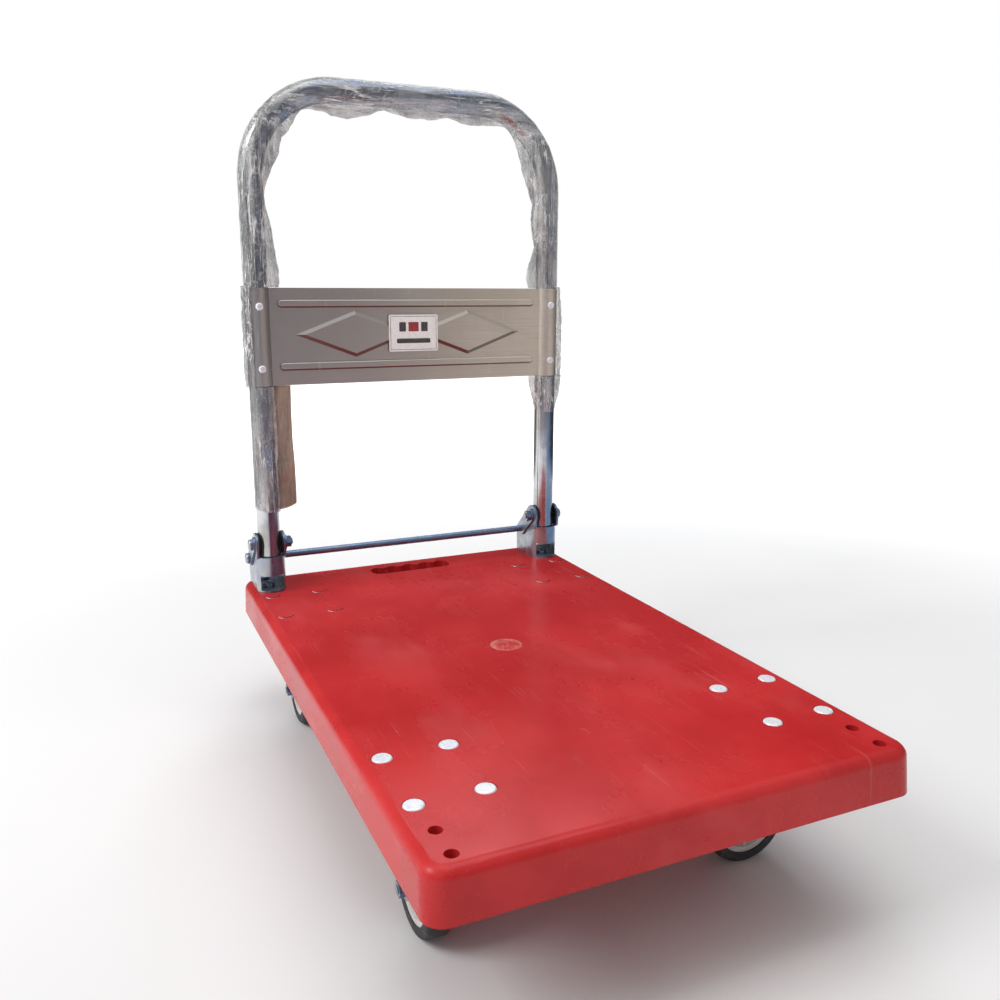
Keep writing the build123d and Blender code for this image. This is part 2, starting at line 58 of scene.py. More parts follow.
tube_radius = (tube_high.y - tube_low.y) / 2
axis_x = tube_high.x - tube_radius
axis_y = (tube_high.y + tube_low.y) / 2
axis_top = tube_high.z - tube_radius
bend_radius = 105 * MM
bend_z = axis_top - bend_radius
bend_length = bend_radius * pi / 2
straight_top = 2 * (axis_x - bend_radius)


# ================================================================ node graphs
class Finish:
    """A material and short calls that add nodes to it. Textures are placed by the row frame."""

    def __init__(self, name):
        self.material = bpy.data.materials.new(name)
        self.material.use_nodes = True
        self.tree = self.material.node_tree
        self.shader = self.tree.nodes["Principled BSDF"]
        self.place = self.add("ShaderNodeTexCoord").outputs["Object"]

    def add(self, kind, inputs=None, **settings):
        made = self.tree.nodes.new(kind)
        for key, value in settings.items():
            setattr(made, key, value)
        for key, value in (inputs or {}).items():
            self.join(value, made.inputs[key])
        return made

    def join(self, value, socket):
        if isinstance(value, bpy.types.NodeSocket):
            self.tree.links.new(value, socket)
        else:
            socket.default_value = value

    def set(self, **sockets):
        """Values or outputs for the shader's sockets; an underscore stands for a space."""
        for key, value in sockets.items():
            self.join(value, self.shader.inputs[key.replace("_", " ")])
        return self

    def stretched(self, scale, turn=(0, 0, 0)):
        mapping = self.add("ShaderNodeMapping", {"Vector": self.place, "Scale": scale, "Rotation": turn})
        return mapping.outputs["Vector"]

    def noise(self, scale, detail=3, rough=0.5, place=None, distortion=0.0):
        inputs = {
            "Vector": place or self.place,
            "Scale": scale,
            "Detail": detail,
            "Roughness": rough,
            "Distortion": distortion,
        }
        return self.add("ShaderNodeTexNoise", inputs).outputs["Fac"]

    def between(self, value, start, end, low=0.0, high=1.0):
        """Low where the value is under start, high where it is over end, and smooth between."""
        inputs = {"Value": value, "From Min": start, "From Max": end, "To Min": low, "To Max": high}
        return self.add("ShaderNodeMapRange", inputs, interpolation_type="SMOOTHSTEP").outputs["Result"]

    def math(self, operation, a, b=0.0):
        return self.add("ShaderNodeMath", {0: a, 1: b}, operation=operation).outputs["Value"]

    def mix(self, share, first, second):
        made = self.add("ShaderNodeMix", {"Factor": share}, data_type="RGBA")
        self.join(first, made.inputs[6])
        self.join(second, made.inputs[7])
        return made.outputs[2]

    def axes(self):
        split = self.add("ShaderNodeSeparateXYZ", {"Vector": self.place})
        return split.outputs["X"], split.outputs["Y"], split.outputs["Z"]

    def facing(self):
        """The parts of the surface's own normal, in the row frame."""
        place = self.add("ShaderNodeTexCoord").outputs["Normal"]
        split = self.add("ShaderNodeSeparateXYZ", {"Vector": place})
        return split.outputs["X"], split.outputs["Y"], split.outputs["Z"]

    def bump(self, height, depth, strength=1.0):
        """The shader's normal from a height from 0 to 1 that stands for a depth in metres."""
        made = self.add("ShaderNodeBump", {"Height": height, "Distance": depth, "Strength": strength})
        self.join(made.outputs["Normal"], self.shader.inputs["Normal"])
        return self


def colour(r, g, b):
    """A linear colour from an sRGB one in 0-255."""
    def linear(c):
        c /= 255
        return c / 12.92 if c <= 0.04045 else ((c + 0.055) / 1.055) ** 2.4
    return (linear(r), linear(g), linear(b), 1)


def scratches(finish, turn, threshold):
    """Thin straight lines in one direction, broken up along their length."""
    lines = finish.noise(1, 2, place=finish.stretched((420, 9, 9), (0, 0, turn)))
    patches = finish.noise(11, 2)
    fine = finish.between(lines, threshold, threshold + 0.05)
    return finish.math("MULTIPLY", fine, finish.between(patches, 0.48, 0.62))


# ================================================================ materials
def red_plastic(name, with_gate_mark):
    """Glossy moulded polypropylene: cloudy colour, wiped smudges, fine scratches, orange peel."""
    f = Finish(name)
    clouds = f.noise(7, 4, 0.6)
    base = f.mix(f.between(clouds, 0.35, 0.68), colour(188, 36, 39), colour(206, 48, 50))
    smears = f.noise(1, 5, 0.6, f.stretched((16, 7, 16), (0, 0, 0.5)), 0.3)
    rubbed = f.between(smears, 0.52, 0.74)
    base = f.mix(f.math("MULTIPLY", rubbed, 0.2), base, colour(214, 98, 99))
    marks = f.math("MAXIMUM", scratches(f, 0.15, 0.66), scratches(f, 1.32, 0.68))
    base = f.mix(f.math("MULTIPLY", marks, 0.25), base, colour(228, 130, 130))
    x, y, z = f.axes()
    on_top = f.between(z, deck_high.z - 1.2 * MM, deck_high.z - 0.6 * MM)
    height = f.noise(420, 2)
    if with_gate_mark:
        flat = f.add("ShaderNodeCombineXYZ", {"X": x, "Y": y, "Z": 0.0}).outputs["Vector"]
        reach = f.add("ShaderNodeVectorMath", {0: flat}, operation="LENGTH").outputs["Value"]
        swirl = f.noise(1, 5, 0.7, f.stretched((90, 50, 10), (0, 0, 0.5)), 1.2)
        edge = gate_mark_radius
        inside = f.between(reach, edge - 0.5 * MM, edge + 0.2 * MM, 1, 0)
        disc = f.math("MULTIPLY", inside, on_top)
        rim = f.math("MULTIPLY", disc, f.between(reach, edge - 5 * MM, edge - 1 * MM))
        blush = f.math("MULTIPLY", disc, f.between(swirl, 0.38, 0.66))
        base = f.mix(f.math("MULTIPLY", blush, 0.6), base, colour(232, 158, 148))
        base = f.mix(f.math("MULTIPLY", rim, 0.35), base, colour(232, 160, 150))
    gloss = f.between(smears, 0.3, 0.75, 0.2, 0.36)
    f.set(Base_Color=base, Roughness=gloss, IOR=1.47)
    f.shader.inputs["Specular IOR Level"].default_value = 0.3
    return f.bump(height, 0.06 * MM, 0.5).material


def painted_blue_reflection(f, base):
    """Painted blue reflection: the plating tinted blue on faces that look right, forward or down, for the
    blue surroundings it mirrors.
    """
    across, along, up = f.facing()
    rightward = f.math("MULTIPLY", f.between(across, -0.32, -0.02), f.between(along, 0.1, -0.15))
    downward = f.between(up, 0.25, -0.1)
    upright = f.between(f.math("ABSOLUTE", across), 0.02, 0.1)
    downward = f.math("MULTIPLY", downward, f.math("SUBTRACT", 1.0, upright))
    edge = f.between(across, 0.55, 0.9, 1, 0.25)
    # share of the painted blue reflection, weaker on faces turned well to the right and broken up by
    # noise
    blue_reflection_share = f.math("MULTIPLY", f.math("MAXIMUM", rightward, downward), edge)
    blue_reflection_share = f.math("MULTIPLY", blue_reflection_share, f.between(f.noise(24, 3), 0.25, 0.7, 0.75, 1))
    return f.mix(blue_reflection_share, base, colour(102, 128, 164))


def zinc(name, warm=0.3, metal=0.85):
    """Bright zinc plating: faint blue and straw tints, fine grain and small dull patches, and a painted
    blue reflection on faces that look right, forward or down.
    """
    f = Finish(name)
    tint = f.between(f.noise(38, 4, 0.6), 0.35, 0.7)
    base = f.mix(tint, colour(162, 170, 186), colour(188, 188, 186))
    dull = f.between(f.noise(95, 5, 0.7), 0.5, 0.72)
    base = f.mix(f.math("MULTIPLY", dull, warm), base, colour(128, 126, 122))
    # painted blue reflection on faces that look right, forward or down
    base = painted_blue_reflection(f, base)
    f.set(Base_Color=base, Metallic=metal, Roughness=f.between(f.noise(60, 4), 0.3, 0.75, 0.2, 0.42))
    return f.bump(f.noise(700, 3, 0.6), 0.08 * MM, 0.5).material


def glare_white_heads(name):
    """Plated bolt heads coloured almost white as a painted highlight for the glare off their plating,
    with a little grain and a few dull spots.
    """
    f = Finish(name)
    grain = f.noise(210, 4, 0.6)
    # painted highlight: near-white colour in place of the glare off the zinc heads
    base = f.mix(f.between(grain, 0.4, 0.72), colour(250, 251, 255), colour(214, 222, 238))
    f.set(Base_Color=base, Metallic=0.15, Roughness=f.between(grain, 0.3, 0.75, 0.22, 0.4), IOR=1.6)
    return f.bump(grain, 0.08 * MM, 0.4).material


def chrome(name):
    """Plated tube: drawn lines along its length and a light haze, and a painted blue reflection on faces
    that look right, forward or down.
    """
    f = Finish(name)
    drawn = f.noise(1, 4, 0.6, f.stretched((300, 300, 4)))
    haze = f.noise(30, 4, 0.6)
    base = f.mix(f.between(haze, 0.4, 0.7), colour(205, 207, 210), colour(176, 174, 170))
    base = f.mix(f.between(drawn, 0.5, 0.7, 0, 0.3), base, colour(120, 118, 116))
    # painted blue reflection on faces that look right, forward or down
    base = painted_blue_reflection(f, base)
    f.set(Base_Color=base, Metallic=0.9, Roughness=f.between(haze, 0.3, 0.75, 0.1, 0.22))
    return f.bump(drawn, 0.05 * MM, 0.35).material


def satin_steel(name):
    """Rolled sheet: fine grain along the panel, cloudy sheen and a few handling marks, with painted shade
    towards its left end and on faces that look down.
    """
    f = Finish(name)
    grain = f.noise(1, 5, 0.65, f.stretched((14, 500, 620)))
    clouds = f.noise(9, 4, 0.55)
    base = f.mix(f.between(clouds, 0.35, 0.68), colour(206, 196, 184), colour(222, 214, 204))
    x, y, z = f.axes()
    # painted shade: the panel darkens towards its left end, fading out by the right
    base = f.mix(f.between(x, -0.15, 0.2, 0.75, 0.0), base, colour(160, 158, 164))
    base = f.mix(f.between(grain, 0.4, 0.7, 0, 0.25), base, colour(170, 162, 152))
    across, along, up = f.facing()
    # painted shade on faces that look down
    base = f.mix(f.between(up, -0.08, -0.3), base, colour(122, 114, 108))
    marks = f.noise(1, 3, 0.5, f.stretched((260, 40, 18), (0, 0.6, 0)))
    base = f.mix(f.between(marks, 0.68, 0.74, 0, 0.3), base, colour(224, 220, 214))
    f.set(Base_Color=base, Metallic=0.9, Roughness=f.between(clouds, 0.3, 0.75, 0.36, 0.48))
    return f.bump(grain, 0.05 * MM, 0.4).material


def clear_film(name, dark, light, shine, cover_range):
    """Crinkled packing film: clear, with long creases whose white lines are painted glints, as strong as
    shine says, and painted reflection as dark and light bands along the tube.
    """
    f = Finish(name)
    x, y, z = f.axes()
    on_arch = f.between(z, bend_z + 0.05, bend_z + 0.08)

    def along_tube(fine, coarse, turn):
        """Noise drawn out along the tube: up the legs, and across on the top bar."""
        legs = f.noise(1, 3, 0.55, f.stretched((fine, fine, coarse), (turn, turn, 0)), 0.3)
        bar = f.noise(1, 3, 0.55, f.stretched((coarse, fine, fine), (0, turn, turn)), 0.3)
        both = f.add("ShaderNodeMix", {"Factor": on_arch}, data_type="FLOAT")
        f.join(legs, both.inputs[2])
        f.join(bar, both.inputs[3])
        return both.outputs[0]

    def ridge(value, width):
        """Thin lines where a noise crosses its middle."""
        off = f.math("ABSOLUTE", f.math("SUBTRACT", value, 0.5))
        return f.between(off, 0.0, width, 1, 0)

    streaks = ridge(along_tube(130, 9, 0.0), 0.05)
    nicks = f.math("MULTIPLY", ridge(along_tube(170, 80, 0.5), 0.035), 0.8)
    crease_and_glint = f.math("MAXIMUM", streaks, nicks)
    patches = f.between(f.noise(26, 3, 0.6), 0.42, 0.6)
    crease_and_glint = f.math("MULTIPLY", crease_and_glint, f.math("ADD", 0.45, f.math("MULTIPLY", patches, 0.55)))
    # painted reflection: the film's colour runs in dark and light bands drawn out along the tube
    reflection_bands = along_tube(70, 5, 0.0)
    base = f.mix(f.between(reflection_bands, 0.38, 0.64), dark, light)
    # painted glints: white along the creases, and the film less clear there
    crease_and_glint = f.math("MULTIPLY", crease_and_glint, shine)
    base = f.mix(crease_and_glint, base, colour(250, 251, 253))
    clouds = f.noise(40, 4, 0.65)
    cover = f.between(clouds, 0.3, 0.72, *cover_range)
    cover = f.math("MAXIMUM", cover, f.math("MULTIPLY", crease_and_glint, 0.9))
    f.set(Base_Color=base, Alpha=cover, Roughness=f.between(clouds, 0.3, 0.7, 0.05, 0.16), IOR=1.49)
    f.shader.inputs["Specular IOR Level"].default_value = 1.0
    folds = f.math("ADD", f.math("MULTIPLY", crease_and_glint, 0.7), f.noise(120, 4, 0.6))
    return f.bump(folds, 2.0 * MM, 0.9).material


def rubber(name):
    """Grey-black rubber, dusty and scuffed on the tread."""
    f = Finish(name)
    dust = f.noise(60, 6, 0.7)
    base = f.mix(f.between(dust, 0.45, 0.75), colour(44, 45, 48), colour(92, 90, 88))
    f.set(Base_Color=base, Roughness=f.between(dust, 0.3, 0.7, 0.55, 0.8), IOR=1.5)
    return f.bump(f.noise(520, 4, 0.7), 0.25 * MM, 0.6).material


def black_nylon(name):
    """Moulded black nylon with a fine texture."""
    f = Finish(name)
    wear = f.noise(130, 4, 0.6)
    base = f.mix(f.between(wear, 0.5, 0.75), colour(22, 22, 24), colour(54, 54, 56))
    f.set(Base_Color=base, Roughness=f.between(wear, 0.3, 0.7, 0.38, 0.55), IOR=1.52)
    return f.bump(f.noise(900, 2), 0.12 * MM, 0.5).material


def white_plastic(name):
    """Wheel core in off-white polypropylene, a little dirty."""
    f = Finish(name)
    dirt = f.noise(48, 6, 0.7)
    base = f.mix(f.between(dirt, 0.5, 0.78), colour(226, 226, 222), colour(176, 170, 160))
    f.set(Base_Color=base, Roughness=f.between(dirt, 0.3, 0.7, 0.35, 0.55), IOR=1.49)
    return f.bump(f.noise(600, 3), 0.1 * MM, 0.4).material


def sticker(name, first, second):
    """Printed vinyl: a faint mottle in the ink and a soft gloss."""
    f = Finish(name)
    mottle = f.noise(240, 4, 0.6)
    base = f.mix(f.between(mottle, 0.35, 0.7), first, second)
    f.set(Base_Color=base, Roughness=f.between(mottle, 0.3, 0.7, 0.3, 0.42), IOR=1.5)
    return f.bump(f.noise(160, 3), 0.08 * MM, 0.4).material


deck_red = red_plastic("deck_red", True)
plug_red = red_plastic("plug_red", False)
bright_zinc = zinc("bright_zinc")
head_glare_white = glare_white_heads("head_glare_white")
tube_chrome = chrome("tube_chrome")
panel_steel = satin_steel("panel_steel")
film_clear = clear_film("film_clear", colour(120, 121, 125), colour(238, 238, 236), 1.0, (0.14, 0.45))
# painted reflection: the loose flap's film is tinted warm brown for the warm surroundings it mirrors
film_warm = clear_film("film_warm", colour(146, 124, 106), colour(196, 172, 148), 0.15, (0.6, 0.82))
tyre_rubber = rubber("tyre_rubber")
washer_black = black_nylon("washer_black")
core_white = white_plastic("core_white")
label_white = sticker("label_white", colour(240, 240, 238), colour(250, 250, 250))
label_grey = sticker("label_grey", colour(62, 60, 62), colour(84, 82, 84))
label_red = sticker("label_red", colour(150, 44, 48), colour(172, 58, 62))


def dress(names, material):
    """Give CAD nodes a finish in place of the one that they came with."""
    for name in names:
        slots = nodes[name].data.materials
        slots.clear()
        slots.append(material)


dress(["deck"], deck_red)
dress(["rear_bolt_plugs"], plug_red)
dress(["caster_bolts"], head_glare_white)
dress(["left_bracket", "right_bracket", "bracket_bolts", "bracket_nuts", "caster_nuts"], bright_zinc)
dress(["pivot_bolts", "pivot_nuts", "release_arms", "release_bar"], bright_zinc)
dress(["panel_screws"], head_glare_white)
dress(["pivot_washers", "pivot_bushes"], washer_black)
dress(["bar_end_caps"], bright_zinc)
dress(["handle_tube"], tube_chrome)
dress(["crosspanel"], panel_steel)
for corner in CORNERS:
    plated = [f"{corner}_{piece}" for piece in ("caster_plate", "race_balls", "caster_fork", "axle")]
    dress([name for name in plated if name in nodes], bright_zinc)
    dress([f"{corner}_axle_bush"], washer_black)
    dress([f"{corner}_wheel_core"], core_white)
    dress([f"{corner}_tyre"], tyre_rubber)


# ================================================================ mesh helpers
def make_mesh(name, points, faces, material, smooth=True):
    mesh = bpy.data.meshes.new(name)
    mesh.from_pydata([tuple(p) for p in points], [], faces)
    mesh.materials.append(material)
    mesh.polygons.foreach_set("use_smooth", [smooth] * len(mesh.polygons))
    mesh.update()
    made = bpy.data.objects.new(name, mesh)
    bpy.context.scene.collection.objects.link(made)
    return made


def grid_faces(rows, columns, closed):
    """Quads of a grid of points stored row by row; a closed grid joins its last column to its first."""
    across = columns if closed else columns - 1
    faces = []
    for i in range(rows - 1):
        for j in range(across):
            k = (j + 1) % columns
            faces.append((i * columns + j, i * columns + k, (i + 1) * columns + k, (i + 1) * columns + j))
    return faces


def thicken(made, thickness):
    solid = made.modifiers.new("thickness", "SOLIDIFY")
    solid.thickness = thickness
    solid.offset = 1
    return made


# ================================================================ protective film
film_gap = 0.5 * MM
film_thickness = 0.25 * MM
film_columns = 84


def handle_frame(s):
    """Point on the handle's axis and the outward direction there. s runs from the left panel top
    over the bar to the right panel top, and below zero or past the end it runs down the uprights."""
    up = bend_z - panel_high.z
    total = 2 * up + 2 * bend_length + straight_top
    if s > total / 2:
        point, outward = handle_frame(total - s)
        return Vector((-point.x, point.y, point.z)), Vector((-outward.x, 0, outward.z))
    if s < up:
        return Vector((-axis_x, axis_y, panel_high.z + s)), Vector((-1, 0, 0))
    if s < up + bend_length:
        turn = (s - up) / bend_radius
        outward = Vector((-cos(turn), 0, sin(turn)))
        centre = Vector((bend_radius - axis_x, axis_y, bend_z))
        return centre + bend_radius * outward, outward
    along = s - up - bend_length
    return Vector((bend_radius - axis_x + along, axis_y, axis_top)), Vector((0, 0, 1))


def bump_shape(value, centre, half_width):
    """1 at the centre, falling smoothly to 0 at the half width."""
    t = abs(value - centre) / half_width
    return 0.0 if t >= 1 else (1 - t * t) ** 2


def angle_from(theta, centre):
    return abs((theta - centre + pi) % tau - pi)


def crumple(p, size, seed):
    """Sharp creases between slack facets, from 0 to about 1."""
    q = p / size + Vector((seed, 0, 0))
    return 1 - min(1, 2.2 * abs(noise.noise(q)))


def sleeve_radius(p, s, theta, lobes, slack):
    """Distance of the film from the tube's axis, with its slack, its loose folds and its creases."""
    swell = 0.0
    for centre, half_length, direction, sharpness, height in lobes:
        spread = max(0.0, cos(angle_from(theta, direction))) ** sharpness
        swell = max(swell, height * bump_shape(s, centre, half_length) * spread)
    loose = 0.35 + swell / (8 * MM)
    creases = crumple(p, 11 * MM, 3.1) * 0.8 + crumple(p, 26 * MM, 8.4) * 1.3
    creases += noise.noise(p / (5 * MM)) * 0.3
    wrinkle = slack * min(1.0, loose) * creases
    return tube_radius + film_gap + max(0.1 * MM, wrinkle) + swell


def film_sleeve(name, start, end, lobes, slack, end_cut=None):
    """A wrinkled sleeve round the handle from start to end along its axis."""
    rows = max(8, int((end - start) / (2.2 * MM)))
    points = []
    for i in range(rows):
        for j in range(film_columns):
            theta = tau * j / film_columns
            s = start + (end - start) * i / (rows - 1)
            if end_cut:
                s = end_cut(s, theta)
            centre, outward = handle_frame(s)
            side = cos(theta) * outward + sin(theta) * Vector((0, -1, 0))
            radius = sleeve_radius(centre + tube_radius * side, s, theta, lobes, slack)
            points.append(centre + radius * side)
    made = make_mesh(name, points, grid_faces(rows, film_columns, True), film_clear)
    return thicken(made, film_thickness)


INWARD = pi
FRONT = pi / 2
OUTWARD = 0.0

upright_length = bend_z - panel_high.z
film_length = 2 * upright_length + 2 * bend_length + straight_top
bar_start = upright_length + bend_length


def on_bar(x):
    """Distance along the axis of a place on the top bar."""
    return bar_start + x + axis_x - bend_radius


def on_right(z):
    """Distance along the axis of a height on the right upright."""
    return film_length - (z - panel_high.z)


def on_left(z):
    return z - panel_high.z


# loose folds: place along the axis, half length, direction, sharpness, height
top_lobes = [
    (on_left(deck_high.z + 0.400), 0.095, INWARD, 5, 12 * MM),
    (on_left(deck_high.z + 0.550), 0.060, INWARD, 6, 13 * MM),
    (upright_length + 0.45 * bend_length, 0.045, INWARD, 6, 9 * MM),
    (on_bar(-0.080), 0.062, INWARD + 0.15, 8, 14 * MM),
    (on_bar(0.020), 0.070, INWARD, 8, 9 * MM),
    (on_bar(0.090), 0.065, INWARD - 0.1, 7, 11 * MM),
    (on_right(deck_high.z + 0.545), 0.085, INWARD - 0.25, 4, 20 * MM),
    (on_right(deck_high.z + 0.475), 0.060, INWARD - 0.55, 4, 16 * MM),
    (on_right(deck_high.z + 0.400), 0.050, INWARD, 5, 13 * MM),
]
top_film = film_sleeve("top_film", 0.5 * MM, film_length - 0.5 * MM, top_lobes, 1.0 * MM)
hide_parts("film_top")
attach(top_film, "handle")


def left_end(s, theta):
    """The left sleeve's lower edge is cut a little slanted."""
    low = on_left(film_left_low.z)
    return max(s, low + 3 * MM + 3 * MM * cos(theta + 0.6))


def lower_film(name, start, end, lobes, slack, node, end_cut):
    made = film_sleeve(name, start, end, lobes, slack, end_cut)
    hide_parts(node)
    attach(made, "handle")
    return made


left_lobes = [
    (on_left(deck_high.z + 0.180), 0.15, INWARD, 8, 3 * MM),
    (on_left(deck_high.z + 0.240), 0.05, FRONT, 4, 2.5 * MM),
]
left_film = lower_film(
    "left_film",
    on_left(film_left_low.z),
    on_left(panel_low.z - 1 * MM),
    left_lobes,
    0.8 * MM,
    "film_left",
    left_end,
)


def right_end(s, theta):
    """The right sleeve ends in a rounded edge, lowest in front."""
    high = on_right(film_right_low.z)
    return min(s, high - 4 * MM + 4 * MM * sin(theta))


right_lobes = [
    (on_right(deck_high.z + 0.272), 0.055, INWARD, 3, 10 * MM),
    (on_right(deck_high.z + 0.270), 0.060, OUTWARD, 3, 9 * MM),
    (on_right(deck_high.z + 0.240), 0.050, FRONT, 4, 4 * MM),
]
right_film = lower_film(
    "right_film",
    on_right(panel_low.z - 1 * MM),
    on_right(film_right_low.z),
    right_lobes,
    1.2 * MM,
    "film_right",
    right_end,
)


# ---------------------------------------------------------------- loose strips of film
strip_gap = 1.9 * MM


def side_strip(name, sign, bow_height):
    """A loose strip beside the crosspanel's sleeve, bowed out at mid height."""
    rows, columns = 66, 22
    points = []
    for i in range(rows):
        z = panel_low.z - 2 * MM + (panel_high.z - panel_low.z + 4 * MM) * i / (rows - 1)
        for j in range(columns):
            theta = radians(-62 + 118 * j / (columns - 1))
            side = Vector((sign * cos(theta), -sin(theta), 0))
            centre = Vector((sign * axis_x, axis_y, z))
            bow = bow_height * bump_shape(z, panel_low.z + 40 * MM, 0.14) * cos(theta * 1.3) ** 2
            creases = crumple(centre + side * tube_radius, 14 * MM, 5.0)
            radius = tube_radius + strip_gap + bow + 1.3 * MM * creases
            points.append(centre + radius * side)
    made = make_mesh(name, points, grid_faces(rows, columns, False), film_clear)
    thicken(made, film_thickness)
    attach(made, "handle")
    return made


strips = {
    "left": side_strip("left_side_film", -1, 2.5 * MM),
    "right": side_strip("right_side_film", 1, 8 * MM),
}

flap_low = film_left_low.z
flap_high = panel_low.z - 1 * MM


def loose_flap():
    """The flattened end of the film tube that stands off the left upright's inner side."""
    rows, columns = 76, 30
    points = []
    for i in range(rows):
        up = i / (rows - 1)
        width = (24.5 - 1.5 * up + 0.6 * sin(up * 7)) * MM
        for j in range(columns):
            # round the flattened pouch: out along its front, back along its rear
            turn = tau * j / columns
            out = (1 - cos(turn)) / 2
            x = -axis_x + tube_radius - 1 * MM + width * out
            thin = (4 - 2.2 * out) * MM
            low_edge = 6 * MM * (1 - up) ** 8 * out**2
            z = flap_low + 2 * MM + (flap_high - flap_low - 2 * MM) * up + low_edge
            ripple = noise.noise(Vector((x, 0.3, z)) / (30 * MM)) * 2.0 * MM
            points.append(Vector((x, axis_y + ripple - thin * sin(turn), z)))
    made = make_mesh("loose_flap", points, grid_faces(rows, columns, True), film_warm)
    thicken(made, film_thickness)
    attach(made, "handle")
    return made


flap = loose_flap()


# ================================================================ label
def rounded_rectangle(width, height, corner, steps=6):
    """Points round a rectangle with rounded corners, centred on zero."""
    points = []
    for k, (sx, sz) in enumerate(((1, 1), (-1, 1), (-1, -1), (1, -1))):
        for i in range(steps + 1):
            a = pi / 2 * (k + i / steps)
            x = sx * (width / 2 - corner) + corner * cos(a)
            z = sz * (height / 2 - corner) + corner * sin(a)
            points.append((x, z))
    return points


def plate(name, outline, centre, thickness, material):
    """A thin plate in front of the panel, from an outline in X and Z, with its back at centre's Y."""
    count = len(outline)
    points = []
    for lift in (0, thickness):
        points += [Vector((centre.x + x, centre.y - lift, centre.z + z)) for x, z in outline]
    faces = [tuple(range(count)), tuple(reversed(range(count, 2 * count)))]
    faces += [(i, i + count, (i + 1) % count + count, (i + 1) % count) for i in range(count)]
    made = make_mesh(name, points, faces, material, smooth=False)
    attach(made, "handle")
    return made


label_centre = (label_low + label_high) / 2
label_back = Vector((label_centre.x, label_high.y, label_centre.z))
label_front = Vector((label_centre.x, label_low.y - 0.02 * MM, label_centre.z))
label_width = label_high.x - label_low.x
label_height = label_high.z - label_low.z
label_thickness = label_high.y - label_low.y

label_sheet = plate(
    "label_sheet",
    rounded_rectangle(label_width, label_height, 2 * MM),
    label_back,
    label_thickness,
    label_white,
)
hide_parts("label")


def frame_plate(name, width, height, line, centre, thickness, material):
    """A thin rectangular frame, as four bars in one mesh."""
    outer = rounded_rectangle(width, height, 1.5 * MM)
    inner = rounded_rectangle(width - 2 * line, height - 2 * line, 1.5 * MM - line)
    count = len(outer)
    points = []
    for lift in (0, thickness):
        for ring in (outer, inner):
            points += [Vector((centre.x + x, centre.y - lift, centre.z + z)) for x, z in ring]
    faces = []
    for i in range(count):
        k = (i + 1) % count
        faces.append((i, k, k + count, i + count))
        faces.append((i + 2 * count, i + 3 * count, k + 3 * count, k + 2 * count))
        faces.append((i, i + 2 * count, k + 2 * count, k))
        faces.append((i + count, k + count, k + 3 * count, i + 3 * count))
    made = make_mesh(name, points, faces, material, smooth=False)
    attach(made, "handle")
    return made


ink = 0.06 * MM
border_inset = 2 * MM
border_line = 0.5 * MM
frame_plate(
    "label_border",
    label_width - 2 * border_inset,
    label_height - 2 * border_inset,
    border_line,
    label_front,
    ink,
    label_grey,
)
# a generic mark: one row of plain blocks over one long bar
for column, width in enumerate((9, 14, 9)):
    offset = Vector(((column - 1) * 15 * MM, 0, 8 * MM))
    tone = label_red if column == 1 else label_grey
    outline = rounded_rectangle(width * MM, 12 * MM, 1 * MM)
    plate(f"label_block_{column}", outline, label_front + offset, ink, tone)
bar_offset = Vector((0, 0, -10 * MM))
plate("label_bar", rounded_rectangle(46 * MM, 6 * MM, 1 * MM), label_front + bar_offset, ink, label_grey)


# ================================================================ studio
def make_floor():
    """A pale paper floor."""
    f = Finish("studio_paper")
    tone = f.between(f.noise(1.4, 3), 0.3, 0.7)
    f.set(Base_Color=f.mix(tone, (0.86, 0.86, 0.87, 1), (0.89, 0.89, 0.89, 1)), Roughness=0.9)
    # further out the paper glows, so that it meets the white world without an edge
    x, y, z = f.axes()
    reach = f.math("SQRT", f.math("ADD", f.math("MULTIPLY", x, x), f.math("MULTIPLY", y, y)))
    f.set(Emission_Color=(1, 1, 1, 1), Emission_Strength=f.between(reach, 0.7, 3.0, 0.0, 1.0))
    half = 12
    points = [Vector((x, y, 0)) for y in (-half, half) for x in (-half, half)]
    floor = make_mesh("studio_floor", points, [(0, 1, 3, 2)], f.material)


